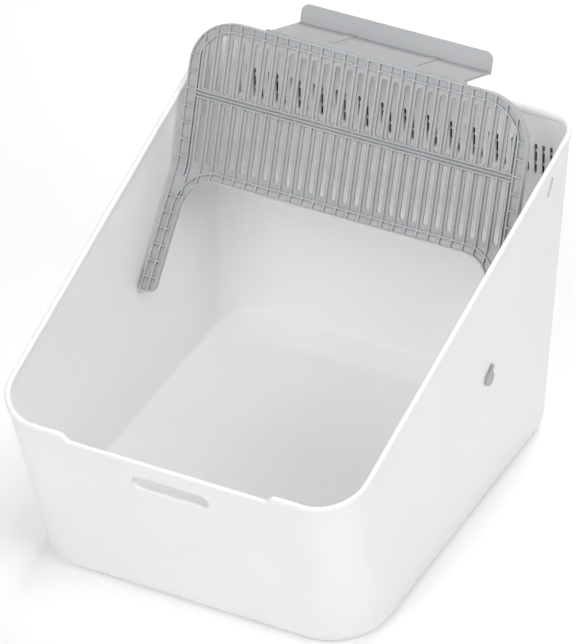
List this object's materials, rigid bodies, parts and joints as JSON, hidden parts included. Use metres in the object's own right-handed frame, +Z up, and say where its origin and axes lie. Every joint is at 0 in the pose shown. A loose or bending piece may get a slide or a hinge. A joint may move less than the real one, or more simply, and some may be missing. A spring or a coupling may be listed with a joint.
{
  "type": "litter tub with fold-down grid flap",
  "caption": "Open-topped litter tub with a sloping rim, low entry side, hand grip, hinged grid flap and a filter behind the rear vents.",
  "frame": {"origin": "on the floor below the middle of the tub's base", "axes": "+Z up, -Y towards the low entry side, +X to the right seen from the entry side"},
  "size_m": [0.4042, 0.4943, 0.3951],
  "materials": {
    "white_plastic": "satin moulded polypropylene, near white",
    "grey_plastic": "satin moulded polypropylene, cool mid grey",
    "white_cover": "satin moulded polypropylene, near white",
    "white_frame": "satin moulded polypropylene, near white",
    "carbon_foam": "black open-cell carbon foam"
  },
  "bodies": {
    "tub": {"tub": "white_plastic", "filter_cover": "white_cover"},
    "flap": {"flap_grid": "grey_plastic"},
    "filter": {"filter_frame": "white_frame", "carbon_filter": "carbon_foam"}
  },
  "joints": [
    {"name": "flap_hinge", "type": "hinge", "parent": "tub", "child": "flap", "pos_m": [0, 0.05295, 0.1549], "axis": [1, 0, 0], "range_deg": [-14, 125]},
    {"name": "filter_slide", "type": "slide", "parent": "tub", "child": "filter", "axis": [1, 0, 0], "range_m": [0, 0.06]}
  ]
}
